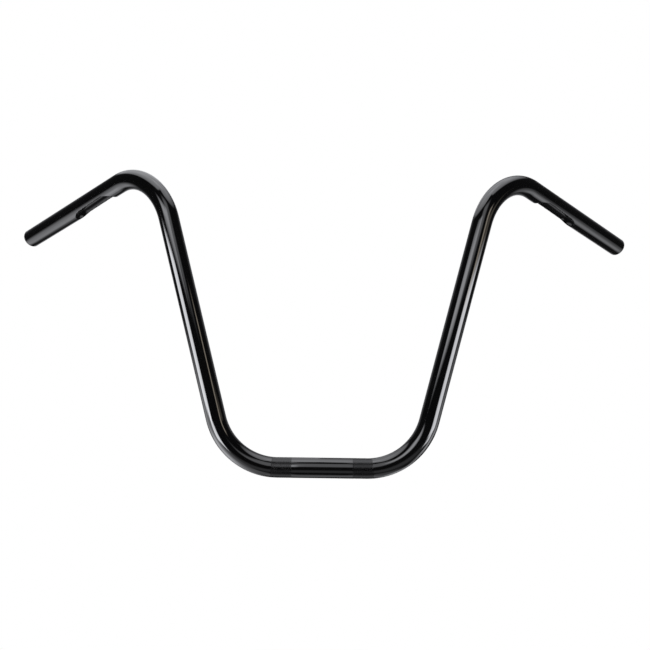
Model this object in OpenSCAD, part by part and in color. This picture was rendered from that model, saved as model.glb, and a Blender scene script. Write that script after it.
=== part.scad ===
// Ape hanger handlebar: one bent steel tube with a pressed wiring groove under each grip.
// Origin: centre of the clamp zone on the tube axis. X runs across, Y back to the rider, Z up.

/* [Tube] */
// Outside diameter of the tube
tube_d = 25.4; // [22:0.1:32]
// Wall thickness of the tube
wall_t = 2.4; // [1.6:0.1:3.2]
// How much each bend necks the tube, in radius
bend_neck = 0.02; // [0.01:0.01:0.05]
// Length by which a straight run laps into a bend
lap = 0.5; // [0.2:0.1:0.8]
// Radius of the rounded outer edge at each open end
edge_r = 0.8; // [0.3:0.1:1.2]

/* [Clamp zone and uprights] */
// Length of the straight clamp zone in the middle
clamp_l = 111.6; // [90:0.2:140]
// Straight length of each upright
upright_l = 257.6; // [150:0.2:320]
// Lean of each upright out from the vertical
upright_lean = 14.3; // [5:0.1:25]
// Centreline radius of the lower bends
low_bend_r = 80; // [60:1:90]

/* [Grips] */
// Straight length of each grip run
grip_l = 214.7; // [205:0.1:260]
// Centreline radius of the upper bends
top_bend_r = 69; // [50:1:80]
// Angle by which each grip sweeps back
grip_sweep = 39; // [15:0.5:60]
// Angle by which each grip dips down
grip_dip = 15.5; // [0:0.5:30]

/* [Wiring groove] */
// Distance from the open end to the middle of the groove
groove_mid = 156; // [140:1:165]
// Depth of the groove at its middle
groove_depth = 8.6; // [3:0.1:10]
// Angle by which the groove gets deeper toward the bend
groove_dive = 2; // [0:0.1:3]
// Roll of the groove out of the plane of the upper bend, toward the front
groove_roll = 0; // [-15:1:15]
// Radius of the pressing tool across the groove, and of its two ball ends
tool_r = 24; // [16:0.5:30]
// Length of the pressing tool between the centres of its ball ends
tool_l = 46; // [20:1:60]

/* [Output] */
// Which piece to show

/* [Hidden] */
$fn = 96;
gloss_black = [0.05, 0.05, 0.055];

tube_r = tube_d / 2;
bore_r = tube_r - wall_t;

// Grip direction as seen from the upright: along it, square to it inward, and back
along = cos(grip_dip) * cos(grip_sweep) * sin(upright_lean) - sin(grip_dip) * cos(upright_lean);
inward = -cos(grip_dip) * cos(grip_sweep) * cos(upright_lean) - sin(grip_dip) * sin(upright_lean);
back = cos(grip_dip) * sin(grip_sweep);

// Angle of each bend, and the roll of the upper bend's plane about the upright
low_turn = 90 - upright_lean;
top_turn = acos(along);
top_roll = -atan2(back, inward);

// Distance from the tube axis to the axis of the pressing tool
tool_offset = tube_r - groove_depth + tool_r;

module handlebar() {
    color(gloss_black)
    difference() {
        bent_rod(tube_r) grip_rod();
        both_sides() at_open_end() pressing(tool_r);
        difference() {
            bent_rod(bore_r) rod(bore_r, -lap, grip_l + lap);
            both_sides() at_open_end() pressing(tool_r + wall_t);
        }
    }
}

module both_sides() {
    children();
    mirror([1, 0, 0]) children();
}

// Whole bent form at one radius: the clamp zone, then bends and uprights, then the grips
module bent_rod(r) {
    rotate([0, 90, 0]) rod(r, -clamp_l / 2 - lap, clamp_l / 2 + lap);
    both_sides()
    at_low_bend() {
        elbow(r - bend_neck, low_bend_r, low_turn);
        after_bend(low_bend_r, low_turn) {
            rod(r, -lap, upright_l + lap);
            at_top_bend() {
                elbow(r - bend_neck, top_bend_r, top_turn);
                after_bend(top_bend_r, top_turn) children();
            }
        }
    }
}

// Frame where the clamp zone ends: Z along the tube, -X toward the inside of the bend
module at_low_bend() {
    rotate([0, 90, 0])
    translate([0, 0, clamp_l / 2])
    children();
}

module at_top_bend() {
    translate([0, 0, upright_l])
    rotate([0, 0, top_roll])
    children();
}

// Frame at an open end: Z out of the end, -X toward the groove
module at_open_end() {
    at_low_bend()
    after_bend(low_bend_r, low_turn)
    at_top_bend()
    after_bend(top_bend_r, top_turn)
    translate([0, 0, grip_l])
    rotate([0, 0, -groove_roll])
    children();
}

module after_bend(bend_r, turn) {
    translate([-bend_r, 0, 0])
    rotate([0, -turn, 0])
    translate([bend_r, 0, 0])
    children();
}

module rod(r, from, to) {
    translate([0, 0, from]) cylinder(h = to - from, r = r);
}

module elbow(r, bend_r, turn) {
    translate([-bend_r, 0, 0])
    rotate([90, 0, 0])
    rotate_extrude(angle = turn)
    translate([bend_r, 0])
    circle(r);
}

// Grip run, with its outer edge rounded over at the open end
module grip_rod() {
    rotate_extrude()
    difference() {
        translate([0, -lap]) square([tube_r, grip_l + lap]);
        translate([tube_r - edge_r, grip_l - edge_r])
        difference() {
            square(2 * edge_r);
            circle(edge_r);
        }
    }
}

// Pressing tool lying in the groove, its axis tilted by the dive
module pressing(r) {
    translate([-tool_offset, 0, -groove_mid])
    rotate([0, -groove_dive, 0]) {
        rod(r, -tool_l / 2, tool_l / 2);
        for (side = [-1, 1])
        translate([0, 0, side * tool_l / 2])
        sphere(r);
    }
}

handlebar();
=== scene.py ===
import math

import bmesh
import bpy
import numpy as np
from mathutils import Matrix, Vector


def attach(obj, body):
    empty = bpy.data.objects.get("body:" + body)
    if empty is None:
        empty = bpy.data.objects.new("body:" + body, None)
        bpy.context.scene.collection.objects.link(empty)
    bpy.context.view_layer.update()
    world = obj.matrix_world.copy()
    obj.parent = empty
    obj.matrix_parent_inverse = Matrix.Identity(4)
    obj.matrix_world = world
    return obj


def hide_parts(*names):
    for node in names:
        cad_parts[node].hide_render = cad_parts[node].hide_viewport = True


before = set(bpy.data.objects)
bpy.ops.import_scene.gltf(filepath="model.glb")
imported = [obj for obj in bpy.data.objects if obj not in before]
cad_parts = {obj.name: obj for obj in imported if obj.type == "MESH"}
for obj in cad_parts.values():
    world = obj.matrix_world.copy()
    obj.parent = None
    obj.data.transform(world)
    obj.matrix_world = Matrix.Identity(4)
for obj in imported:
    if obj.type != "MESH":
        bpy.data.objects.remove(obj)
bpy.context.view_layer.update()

MM = 0.001

# Sizes repeated from the part's source, in millimetres and degrees
TUBE_R = 12.7
BORE_R = 10.3
EDGE_R = 0.8
BEND_NECK = 0.02
CLAMP_L = 111.6
UPRIGHT_L = 257.6
LEAN = 14.3
LOW_BEND_R = 80.0
GRIP_L = 214.7
TOP_BEND_R = 69.0
SWEEP = 39.0
DIP = 15.5
GROOVE_MID = 156.0
GROOVE_DEPTH = 8.6
GROOVE_DIVE = 2.0
TOOL_R = 24.0
TOOL_L = 46.0

# Width over which the pressed groove's rims are rounded, outside and in the bore
RIM_BLEND = 1.3
RIDGE_BLEND = 0.8
# Bevel at the mouth of the bore
MOUTH = 0.3

# Rough patches in the clamp zone: where they start and end along the tube, over what length their ends
# fade, how deep their fine grooves are, and how many of them run round the tube
PATCH_FROM = 38.0
PATCH_TO = 63.5
PATCH_FADE = 1.2
PATCH_DEPTH = 0.16
TEETH = 48
PITCH = 2 * math.pi * TUBE_R / TEETH

# Points in each ring outside and in the bore, and rings in the rounded edge of the open end
AROUND = 192
AROUND_IN = 96
EDGE_RINGS = 5
# Distance between rings outside, in millimetres
STEP_CLAMP = 9.5
STEP_PATCH = PITCH / 4
STEP_BEND = 3.6
STEP_UPRIGHT = 20
STEP_GRIP = 4
STEP_GROOVE = 1.3
STEP_END = 14
# And in the bore
BORE_STEP_BEND = 10
BORE_STEP_UPRIGHT = 90
BORE_STEP_RIDGE = 4
BORE_STEP_END = 40
# How far past the centres of the pressing tool's ball ends the rings stay close together
GROOVE_REACH = 22.0
# How far past the upper bend the tube is first tested for the pressing tool
PAST_BEND = 1
# The search for the pressing tool, outward from the tube's axis: from, to, number of places, and
# halvings after that. The last is the radius where nothing is met.
WALK_FROM = 0.5
WALK_TO = 17.0
WALK_PLACES = 67
HALVINGS = 24
NOTHING_MET = 99.0
# Edges that turn by more degrees than this are shaded sharp
SHARP = 32

# Coating: its noises, each with size per metre, detail and roughness; how the first two share the finish
# and tint; the ranges of that mix that the finish and the tint follow; how the last two share the bump;
# the bump's depth in metres; and its two blacks
NOISE_BROAD = (9.0, 3.0, 0.5)
NOISE_FINE = (160.0, 4.0, 0.6)
NOISE_SPECK = (900.0, 2.0, 0.5)
SHARE_BROAD = 0.55
SHARE_FINE = 0.45
FINISH_RANGE = (0.35, 0.65)
TINT_RANGE = (0.3, 0.7)
BUMP_FINE = 0.7
BUMP_SPECK = 0.3
BUMP_DEPTH = 0.00004
BLACK = (0.0008, 0.0008, 0.001, 1)
BLACK_LIGHTER = (0.002, 0.0019, 0.002, 1)
COAT_IOR = 1.5
# Its two finishes, smooth and in the rough patches: name, range of roughness, strength of the bump, and
# specular level
COATS = [
    ("gloss_black_coating", 0.035, 0.075, 0.35, 0.5),
    ("gloss_black_rough_patch", 0.2, 0.3, 0.6, 0.26),
]

# Studio tent, in metres: its half width and height, its depth below its middle, and its middle. Then its
# faint even glow and the colours of its panels.
TENT_R = 1.4
TENT_DEPTH = 0.6
TENT_MIDDLE = (0, 0.05, 0.15)
TENT_GLOW = 0.04
COOL = (0.95, 0.96, 1.0, 1)
WARM = (1.0, 0.88, 0.72, 1)

# Panels of the studio tent, which only reflections see: from and to azimuth (0 toward the camera, + to
# the right), from and to elevation, strength, and half the width of the soft edges across and up.
# An azimuth past 200 leaves that side open.
SOFTBOXES = [
    (-80, -46, -18, 3, 15.0, 3, 2),         # tall box on the left, its high part
    (-62, -36, -32, -17, 15.0, 3, 2),       # and its low part
    (40, 78, -23, 2, 5.0, 3, 2),            # tall box on the right
    (43, 75, -24, -1, 8.0, 3, 2),           # its bright middle
    (50, 70, -33, -23, 10.0, 3, 2),         # and its low part
    (-46, -5, 8, 30, 3.4, 4, 3),            # box in front on the left, over the camera
    (-42, -14, 12, 24, 2.6, 4, 4),          # and its bright middle
    (-14, 16, 12, 48, 1.9, 8, 6),           # box high over the camera
    (-250, 250, 80, 120, 1.2, 10, 6),       # lamp right overhead
    (125, 250, -10, 30, 0.35, 20, 10),      # dim panel at the back on the right
    (-250, -125, -10, 30, 0.4, 20, 10),     # dim panel at the back on the left
    (-122, -62, -58, -13, 2.3, 11, 8),      # low panel on the left
    (-103, -80, -54, -28, 1.7, 8, 8),       # its bright middle
    (-150, -38, -66, -31, 1.0, 10, 8),      # and its dim surroundings
    (80, 110, -48, -20, 1.9, 8, 8),         # low panel on the right
    (80, 98, -44, -28, 1.5, 5, 5),          # its bright middle
    (84, 118, -26, -8, 0.8, 8, 5),          # its dim part above
    (104, 148, -66, -44, 1.5, 10, 5),       # and its dim part behind
    (-60, 60, -52, -28, 0.5, 20, 8),        # low panel in front
    (-110, -25, -78, -60, 0.8, 12, 6),      # panel lower down on the left
    (25, 140, -78, -60, 0.7, 12, 6),        # and on the right
    (-250, 250, -120, -76, 1.1, 10, 6),     # panel underneath
]
WARM_BOXES = [
    (42, 53, -2, 20, 4.0, 2, 3),            # warm panel in front on the right
    (54, 80, 1, 10, 0.9, 4, 3),             # and its dim side
]

# Ceiling of the tent: half the width of its soft edge, the elevations counted as low down and overhead,
# and how its edge runs in front: its elevation there and how far that falls for each degree of azimuth
CEILING_BLUR = 3.5
CEILING_LOW = 42
CEILING_HIGH = 70
CEILING_FRONT = 72.0
CEILING_FALL = 0.6
# Its parts: from and to azimuth, half the width of their ends, the edge's elevation and fall at the
# sides, and strength low down and overhead
CEILING = [
    (-250, 0, 10, 61.5, 0.195, 1.2, 2.4),
    (-125, 0, 14, 61.5, 0.195, 0.8, 1.0),
    (0, 250, 10, 64.5, 0.165, 0.5, 2.4),
    (0, 130, 14, 64.5, 0.165, 0.1, 0.4),
]

# Floor: half its width and its height in metres, and its colour. It is shown plain white past the far
# distance from its middle, and by this share of white inside the near one.
FLOOR_SIZE = 30
FLOOR_Z = -0.5
PAPER = (0.93, 0.93, 0.93, 1)
WHITE_NEAR = 0.1
WHITE_FAR = 0.75
WHITE_SHARE = 0.6
# Strength of the world as a light
WORLD_LIGHT = 0.55

# Lamps: name, place, aim, size in metres and power in watts
LAMPS = [
    ("overhead", (0.0, -0.3, 2.2), (0, 0.05, 0.1), 2.4, 30),
    ("front_left", (-1.8, -1.6, 1.2), (0, 0, 0.15), 1.4, 9),
    ("front_right", (1.8, -1.6, 1.2), (0, 0, 0.15), 1.4, 9),
]

# Camera: focal length and image width in pixels, sensor width in millimetres, nearest distance that it
# sees in metres, place in millimetres and angles in radians
FOCAL_PX = 802.80362
IMAGE_PX = 650
SENSOR = 36
NEAREST = 0.01
CAMERA_PLACE = (-3.92479, -1006.54122, 151.58739)
CAMERA_YAW = 0.00508
CAMERA_PITCH = 0.02674
CAMERA_ROLL = -0.01407


def rot(axis, degrees):
    return np.array(Matrix.Rotation(math.radians(degrees), 4, axis))


def shift(x, y, z):
    return np.array(Matrix.Translation((x, y, z)))


def bend(radius, degrees):
    return shift(-radius, 0, 0) @ rot("Y", -degrees) @ shift(radius, 0, 0)


def grip_angles():
    """Turn of the upper bend, and roll of its plane about the upright, in degrees."""
    lean, sweep, dip = (math.radians(a) for a in (LEAN, SWEEP, DIP))
    along = math.cos(dip) * math.cos(sweep) * math.sin(lean) - math.sin(dip) * math.cos(lean)
    inward = -math.cos(dip) * math.cos(sweep) * math.cos(lean) - math.sin(dip) * math.sin(lean)
    back = math.cos(dip) * math.sin(sweep)
    return math.degrees(math.acos(along)), -math.degrees(math.atan2(back, inward))


LOW_TURN = 90 - LEAN
TOP_TURN, TOP_ROLL = grip_angles()

# Distances along the tube's axis from the middle, to the start of the lower bend, of the upright, of the
# upper bend and of the grip, and to the open end
S_LOW = CLAMP_L / 2
S_UP = S_LOW + LOW_BEND_R * math.radians(LOW_TURN)
S_TOP = S_UP + UPRIGHT_L
S_GRIP = S_TOP + TOP_BEND_R * math.radians(TOP_TURN)
S_END = S_GRIP + GRIP_L
# Stretch that holds the pressed groove
S_GROOVE_IN = S_END - GROOVE_MID - TOOL_L / 2 - GROOVE_REACH
S_GROOVE_OUT = S_END - GROOVE_MID + TOOL_L / 2 + GROOVE_REACH


def at(s):
    """Frame of the tube at a distance s along its axis, without twist: Z along the tube."""
    m = rot("Y", 90)
    if s <= S_LOW:
        return m @ shift(0, 0, s)
    m = m @ shift(0, 0, S_LOW)
    if s <= S_UP:
        return m @ bend(LOW_BEND_R, math.degrees((s - S_LOW) / LOW_BEND_R))
    m = m @ bend(LOW_BEND_R, LOW_TURN)
    if s <= S_TOP:
        return m @ shift(0, 0, s - S_UP)
    m = m @ shift(0, 0, UPRIGHT_L) @ rot("Z", TOP_ROLL)
    if s <= S_GRIP:
        turned = math.degrees((s - S_TOP) / TOP_BEND_R)
        return m @ bend(TOP_BEND_R, turned) @ rot("Z", -TOP_ROLL)
    return m @ bend(TOP_BEND_R, TOP_TURN) @ shift(0, 0, s - S_GRIP) @ rot("Z", -TOP_ROLL)


def pressed(radius, z, theta, tool_r, blend):
    """Radius of a grip's surface where the pressing tool has dented it, at place z from the open end."""
    psi = theta - math.radians(TOP_ROLL)
    mid = np.array([-(TUBE_R - GROOVE_DEPTH + TOOL_R), 0.0, -GROOVE_MID])
    dive = math.radians(GROOVE_DIVE)
    axis = np.array([-math.sin(dive), 0.0, math.cos(dive)])

    def gap(t):
        p = np.stack([t * np.cos(psi), t * np.sin(psi), np.full_like(t, z)], -1) - mid
        along = np.clip(p @ axis, -TOOL_L / 2, TOOL_L / 2)
        return np.linalg.norm(p - along[..., None] * axis, axis=-1) - tool_r

    low = np.zeros_like(theta)
    high = np.full_like(theta, np.inf)
    for t in np.linspace(WALK_FROM, WALK_TO, WALK_PLACES):
        here = np.full_like(theta, t)
        inside = (gap(here) < 0) & np.isinf(high)
        high[inside] = t
        low[np.isinf(high)] = t
    hit = np.isfinite(high)
    high = np.where(hit, high, WALK_TO)
    for _ in range(HALVINGS):
        middle = (low + high) / 2
        free = gap(middle) >= 0
        low = np.where(free, middle, low)
        high = np.where(free, high, middle)
    found = np.where(hit, (low + high) / 2, NOTHING_MET)
    near = np.clip(blend - np.abs(found - radius), 0, None) / blend
    return np.minimum(found, radius) - near * near * blend / 4


def patch(s, theta):
    """Depth of the crossed fine grooves in a rough patch of the clamp zone."""
    if not PATCH_FROM < s < PATCH_TO:
        return np.zeros_like(theta)
    turns = TEETH * theta / (2 * math.pi)
    along = (s - PATCH_FROM) / PITCH

    def notch(u):
        f = u % 1.0
        return 1 - 2 * np.minimum(f, 1 - f)

    fade = min(1.0, (s - PATCH_FROM) / PATCH_FADE, (PATCH_TO - s) / PATCH_FADE)
    deep = np.maximum(notch(along + turns), notch(along - turns))
    return PATCH_DEPTH * fade * deep


def span(a, b, step):
    n = max(1, int(round((b - a) / step)))
    return [a + (b - a) * i / n for i in range(n)]


def outer_stations():
    s = span(0.0, PATCH_FROM, STEP_CLAMP)
    s += span(PATCH_FROM, PATCH_TO, STEP_PATCH)
    s += span(PATCH_TO, S_UP, STEP_BEND)
    s += span(S_UP, S_TOP, STEP_UPRIGHT)
    s += span(S_TOP, S_GRIP, STEP_BEND)
    s += span(S_GRIP, S_GROOVE_IN, STEP_GRIP)
    s += span(S_GROOVE_IN, S_GROOVE_OUT, STEP_GROOVE)
    s += span(S_GROOVE_OUT, S_END - EDGE_R, STEP_END)
    return s


def inner_stations():
    s = [0.0]
    s += span(S_LOW, S_UP, BORE_STEP_BEND)
    s += span(S_UP, S_TOP, BORE_STEP_UPRIGHT)
    s += span(S_TOP, S_GRIP, BORE_STEP_BEND)
    s += span(S_GRIP, S_GROOVE_IN, BORE_STEP_BEND)
    s += span(S_GROOVE_IN, S_GROOVE_OUT, BORE_STEP_RIDGE)
    s += span(S_GROOVE_OUT, S_END - MOUTH, BORE_STEP_END)
    return s


def ring(s, theta, radius, mirrored):
    across = radius * np.cos(theta)
    up = radius * np.sin(theta)
    p = np.stack([across, up, np.zeros_like(theta), np.ones_like(theta)])
    v = (at(s) @ p)[:3].T * MM
    if mirrored:
        v = v * [-1, 1, 1]
    return v


def half_outer(mirrored):
    """Rings of the outer surface, from the middle to the open end."""
    theta = np.linspace(0, 2 * math.pi, AROUND, endpoint=False)
    rings = []
    for s in outer_stations():
        bent = S_LOW < s < S_UP or S_TOP < s < S_GRIP
        radius = np.full(AROUND, TUBE_R - (BEND_NECK if bent else 0.0))
        if s > S_GRIP + PAST_BEND:
            radius = pressed(TUBE_R, s - S_END, theta, TOOL_R, RIM_BLEND)
        radius = radius - patch(s, theta)
        rings.append(ring(s, theta, radius, mirrored))
    for k in range(EDGE_RINGS + 1):
        a = math.radians(90 * k / EDGE_RINGS)
        radius = np.full(AROUND, TUBE_R - EDGE_R + EDGE_R * math.cos(a))
        rings.append(ring(S_END - EDGE_R + EDGE_R * math.sin(a), theta, radius, mirrored))
    return rings


def half_inner(mirrored):
    """Rings of the bore, from the middle to the open end."""
    theta = np.linspace(0, 2 * math.pi, AROUND_IN, endpoint=False)
    rings = []
    for s in inner_stations():
        radius = np.full(AROUND_IN, BORE_R)
        if s > S_GRIP + PAST_BEND:
            radius = pressed(BORE_R, s - S_END, theta, TOOL_R + TUBE_R - BORE_R, RIDGE_BLEND)
        rings.append(ring(s, theta, radius, mirrored))
    rings.append(ring(S_END - MOUTH, theta, np.full(AROUND_IN, BORE_R), mirrored))
    rings.append(ring(S_END, theta, np.full(AROUND_IN, BORE_R + MOUTH), mirrored))
    return rings


def whole(half):
    """Rings from one open end to the other, the middle one counted once."""
    right, left = half(False), half(True)
    return left[:0:-1] + right


def wall(start, rings, around):
    """Faces between neighbouring rings, whose points count up from start."""
    faces = []
    for i in range(rings - 1):
        a = start + i * around
        b = start + (i + 1) * around
        for j in range(around):
            k = (j + 1) % around
            faces.append((a + j, a + k, b + k, b + j))
    return faces


def end_ring(outer, inner):
    """Faces across an open end, between an outer ring and a bore ring of half as many points."""
    faces = []
    for j in range(AROUND_IN):
        k = (j + 1) % AROUND_IN
        first, second = outer + 2 * j, outer + 2 * j + 1
        third = outer + (2 * j + 2) % AROUND
        faces.append((first, second, inner + j))
        faces.append((second, third, inner + k, inner + j))
    return faces


def in_patch(centres):
    """Which faces lie in a rough patch, from their centres in millimetres."""
    across = np.abs(centres[:, 0])
    turned = np.arctan2(across - S_LOW, LOW_BEND_R - centres[:, 2])
    along = np.where(across < S_LOW, across, S_LOW + LOW_BEND_R * turned)
    low = centres[:, 2] < 2 * TUBE_R
    return low & (along > PATCH_FROM) & (along < PATCH_TO)


def build_tube():
    """The whole tube as one closed mesh, with its bore."""
    outer = whole(half_outer)
    inner = whole(half_inner)
    base = len(outer) * AROUND
    faces = wall(0, len(outer), AROUND)
    faces += [(b, a, d, c) for a, b, c, d in wall(base, len(inner), AROUND_IN)]
    faces += end_ring(0, base)
    faces += end_ring((len(outer) - 1) * AROUND, base + (len(inner) - 1) * AROUND_IN)
    mesh = bpy.data.meshes.new("handlebar_tube")
    mesh.from_pydata(np.concatenate(outer + inner).tolist(), [], faces)
    bm = bmesh.new()
    bm.from_mesh(mesh)
    bmesh.ops.recalc_face_normals(bm, faces=bm.faces)
    bm.to_mesh(mesh)
    bm.free()
    mesh.polygons.foreach_set("use_smooth", [True] * len(mesh.polygons))
    mesh.set_sharp_from_angle(angle=math.radians(SHARP))
    centres = np.empty(3 * len(mesh.polygons))
    mesh.polygons.foreach_get("center", centres)
    rough = in_patch(centres.reshape(-1, 3) / MM)
    mesh.polygons.foreach_set("material_index", rough.astype(int))
    obj = bpy.data.objects.new("handlebar_tube", mesh)
    bpy.context.scene.collection.objects.link(obj)
    return obj


class Nodes:
    """Short calls for building a node tree."""

    def __init__(self, tree):
        self.tree = tree
        self.tree.nodes.clear()

    def add(self, kind, **settings):
        node = self.tree.nodes.new(kind)
        for key, value in settings.items():
            setattr(node, key, value)
        return node

    def feed(self, socket, value):
        if isinstance(value, bpy.types.NodeSocket):
            self.tree.links.new(value, socket)
        else:
            socket.default_value = value

    def math(self, operation, *values):
        node = self.add("ShaderNodeMath", operation=operation)
        for socket, value in zip(node.inputs, values):
            self.feed(socket, value)
        return node.outputs[0]

    def ramp(self, value, from_low, from_high, to_low, to_high, kind="SMOOTHSTEP"):
        node = self.add("ShaderNodeMapRange", interpolation_type=kind)
        for socket, v in zip(node.inputs[:5], (value, from_low, from_high, to_low, to_high)):
            self.feed(socket, v)
        return node.outputs[0]

    def noise(self, vector, scale, detail, roughness):
        node = self.add("ShaderNodeTexNoise")
        self.feed(node.inputs["Vector"], vector)
        node.inputs["Scale"].default_value = scale
        node.inputs["Detail"].default_value = detail
        node.inputs["Roughness"].default_value = roughness
        return node.outputs["Fac"]

    def blend(self, first, share, second, other):
        """Sum of two values, each times its share."""
        one = self.math("MULTIPLY", first, share)
        two = self.math("MULTIPLY", second, other)
        return self.math("ADD", one, two)


def black_coat(name, rough_low, rough_high, peel, shine):
    """Black coating: the range of its roughness, the strength of its bump, and its specular level."""
    mat = bpy.data.materials.new(name)
    mat.use_nodes = True
    n = Nodes(mat.node_tree)
    out = n.add("ShaderNodeOutputMaterial")
    bsdf = n.add("ShaderNodeBsdfPrincipled")
    n.feed(out.inputs[0], bsdf.outputs[0])
    where = n.add("ShaderNodeTexCoord").outputs["Object"]
    broad = n.noise(where, *NOISE_BROAD)
    fine = n.noise(where, *NOISE_FINE)
    speck = n.noise(where, *NOISE_SPECK)
    mix = n.blend(broad, SHARE_BROAD, fine, SHARE_FINE)
    n.feed(bsdf.inputs["Roughness"], n.ramp(mix, *FINISH_RANGE, rough_low, rough_high, "LINEAR"))
    # Inputs 0, 6 and 7 of a colour mix are its factor and its two colours, and output 2 is the result
    tint = n.add("ShaderNodeMix", data_type="RGBA")
    n.feed(tint.inputs[0], n.ramp(mix, *TINT_RANGE, 0.0, 1.0))
    n.feed(tint.inputs[6], BLACK)
    n.feed(tint.inputs[7], BLACK_LIGHTER)
    n.feed(bsdf.inputs["Base Color"], tint.outputs[2])
    bump = n.add("ShaderNodeBump")
    n.feed(bump.inputs["Strength"], peel)
    n.feed(bump.inputs["Distance"], BUMP_DEPTH)
    n.feed(bump.inputs["Height"], n.blend(fine, BUMP_FINE, speck, BUMP_SPECK))
    n.feed(bsdf.inputs["Normal"], bump.outputs[0])
    n.feed(bsdf.inputs["IOR"], COAT_IOR)
    n.feed(bsdf.inputs["Specular IOR Level"], shine)
    return mat


def tent_light():
    """Material of the tent: each panel and part of the ceiling as light from its own directions."""
    mat = bpy.data.materials.new("studio_tent")
    mat.use_nodes = True
    n = Nodes(mat.node_tree)
    out = n.add("ShaderNodeOutputMaterial")
    place = n.add("ShaderNodeTexCoord").outputs["Object"]
    xyz = n.add("ShaderNodeSeparateXYZ")
    n.feed(xyz.inputs[0], place)
    x, y, z = xyz.outputs
    flat = n.math("SQRT", n.math("ADD", n.math("MULTIPLY", x, x), n.math("MULTIPLY", y, y)))
    el = n.math("MULTIPLY", n.math("ARCTAN2", z, flat), 180 / math.pi)
    az = n.math("MULTIPLY", n.math("ARCTAN2", x, n.math("MULTIPLY", y, -1.0)), 180 / math.pi)

    def within(angle, low, high, blur, value):
        value = n.math("MULTIPLY", n.ramp(angle, low - blur, low + blur, 0.0, 1.0), value)
        return n.math("MULTIPLY", n.ramp(angle, high - blur, high + blur, 1.0, 0.0), value)

    def softbox(az0, az1, el0, el1, strength, az_blur, el_blur):
        return within(el, el0, el1, el_blur, within(az, az0, az1, az_blur, strength))

    def ceiling(az0, az1, blur, edge, fall, low, high):
        aside = n.math("ABSOLUTE", az)
        front = n.math("SUBTRACT", CEILING_FRONT, n.math("MULTIPLY", aside, CEILING_FALL))
        side = n.math("SUBTRACT", edge, n.math("MULTIPLY", aside, fall))
        over = n.math("SUBTRACT", el, n.math("MAXIMUM", front, side))
        inside = n.ramp(over, -CEILING_BLUR, CEILING_BLUR, 0.0, 1.0)
        value = n.math("MULTIPLY", inside, n.ramp(el, CEILING_LOW, CEILING_HIGH, low, high))
        return within(az, az0, az1, blur, value)

    def glow(boxes, start, colour):
        total = start
        for value in boxes:
            total = n.math("ADD", value, total)
        light = n.add("ShaderNodeEmission")
        n.feed(light.inputs["Color"], colour)
        n.feed(light.inputs["Strength"], total)
        return light.outputs[0]

    cool = [softbox(*box) for box in SOFTBOXES] + [ceiling(*part) for part in CEILING]
    warm = [softbox(*box) for box in WARM_BOXES]
    both = n.add("ShaderNodeAddShader")
    n.feed(both.inputs[0], glow(cool, TENT_GLOW, COOL))
    n.feed(both.inputs[1], glow(warm, 0.0, WARM))
    n.feed(out.inputs[0], both.outputs[0])
    return mat


def studio_tent():
    """A tent that only reflections see: dark, with lit panels at both sides, in front and overhead."""
    mesh = bpy.data.meshes.new("studio_tent")
    bm = bmesh.new()
    bmesh.ops.create_uvsphere(bm, u_segments=64, v_segments=40, radius=1.0)
    for v in bm.verts:
        tall = TENT_R if v.co.z > 0 else TENT_DEPTH
        v.co = Vector((v.co.x * TENT_R, v.co.y * TENT_R, v.co.z * tall))
    bm.to_mesh(mesh)
    bm.free()
    tent = bpy.data.objects.new("studio_tent", mesh)
    tent.location = TENT_MIDDLE
    bpy.context.scene.collection.objects.link(tent)
    for ray in ("camera", "diffuse", "transmission", "shadow", "volume_scatter"):
        setattr(tent, "visible_" + ray, False)
    mesh.materials.append(tent_light())


def white_for_view(n, lit, shown, white):
    """Shows a share of plain white to camera, glossy and transmission rays, and lit to the others."""
    path = n.add("ShaderNodeLightPath")
    seen = n.math("MAXIMUM", path.outputs["Is Camera Ray"], path.outputs["Is Glossy Ray"])
    seen = n.math("MAXIMUM", seen, path.outputs["Is Transmission Ray"])
    mix = n.add("ShaderNodeMixShader")
    n.feed(mix.inputs[0], n.math("MULTIPLY", seen, shown))
    n.feed(mix.inputs[1], lit)
    n.feed(mix.inputs[2], white)
    return mix.outputs[0]


def studio_floor():
    mesh = bpy.data.meshes.new("studio_floor")
    bm = bmesh.new()
    bmesh.ops.create_grid(bm, x_segments=8, y_segments=8, size=FLOOR_SIZE)
    bm.to_mesh(mesh)
    bm.free()
    floor = bpy.data.objects.new("studio_floor", mesh)
    floor.location = (0, 0, FLOOR_Z)
    bpy.context.scene.collection.objects.link(floor)
    mat = bpy.data.materials.new("studio_floor")
    mat.use_nodes = True
    n = Nodes(mat.node_tree)
    out = n.add("ShaderNodeOutputMaterial")
    paper = n.add("ShaderNodeBsdfDiffuse")
    n.feed(paper.inputs["Color"], PAPER)
    white = n.add("ShaderNodeEmission")
    ground = n.add("ShaderNodeTexCoord").outputs["Object"]
    reach = n.add("ShaderNodeVectorMath", operation="LENGTH")
    n.feed(reach.inputs[0], ground)
    shown = n.ramp(reach.outputs["Value"], WHITE_NEAR, WHITE_FAR, WHITE_SHARE, 1.0)
    n.feed(out.inputs[0], white_for_view(n, paper.outputs[0], shown, white.outputs[0]))
    mesh.materials.append(mat)


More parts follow.
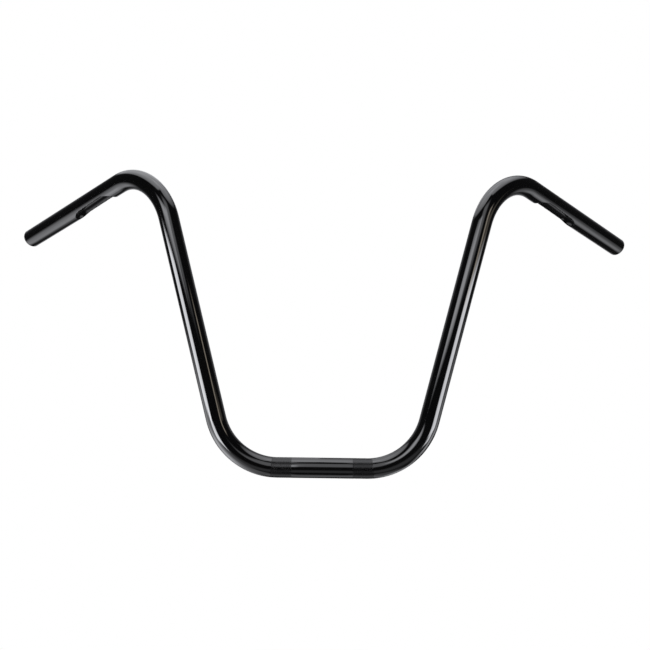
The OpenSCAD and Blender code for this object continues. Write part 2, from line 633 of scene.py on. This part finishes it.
def studio_world():
    world = bpy.data.worlds.new("studio_world")
    bpy.context.scene.world = world
    world.use_nodes = True
    n = Nodes(world.node_tree)
    out = n.add("ShaderNodeOutputWorld")
    soft = n.add("ShaderNodeBackground")
    n.feed(soft.inputs["Strength"], WORLD_LIGHT)
    n.feed(soft.inputs["Color"], (1, 1, 1, 1))
    white = n.add("ShaderNodeBackground")
    n.feed(white.inputs["Color"], (1, 1, 1, 1))
    n.feed(out.inputs[0], white_for_view(n, soft.outputs[0], 1.0, white.outputs[0]))


def lamp(name, place, target, size, power):
    data = bpy.data.lights.new(name, "AREA")
    data.shape = "SQUARE"
    data.size = size
    data.energy = power
    obj = bpy.data.objects.new(name, data)
    obj.location = place
    aim = Vector(target) - Vector(place)
    obj.rotation_euler = aim.to_track_quat("-Z", "Y").to_euler()
    obj.visible_camera = False
    obj.visible_glossy = False
    bpy.context.scene.collection.objects.link(obj)


def camera():
    data = bpy.data.cameras.new("camera")
    data.sensor_width = SENSOR
    data.lens = FOCAL_PX / IMAGE_PX * SENSOR
    data.clip_start = NEAREST
    obj = bpy.data.objects.new("camera", data)
    yaw, pitch, roll = CAMERA_YAW, CAMERA_PITCH, CAMERA_ROLL
    fwd = Vector((math.sin(yaw) * math.cos(pitch), math.cos(yaw) * math.cos(pitch), math.sin(pitch)))
    right = Vector((math.cos(yaw), -math.sin(yaw), 0))
    down = fwd.cross(right)
    r = math.cos(roll) * right + math.sin(roll) * down
    d = -math.sin(roll) * right + math.cos(roll) * down
    m = Matrix((r, -d, -fwd)).transposed().to_4x4()
    m.translation = Vector(CAMERA_PLACE) * MM
    obj.matrix_world = m
    bpy.context.scene.collection.objects.link(obj)
    bpy.context.scene.camera = obj


camera()
tube = build_tube()
for settings in COATS:
    tube.data.materials.append(black_coat(*settings))
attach(tube, "root")
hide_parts("handlebar")
studio_tent()
studio_floor()
studio_world()
for settings in LAMPS:
    lamp(*settings)

scene = bpy.context.scene
scene.view_settings.view_transform = "Standard"
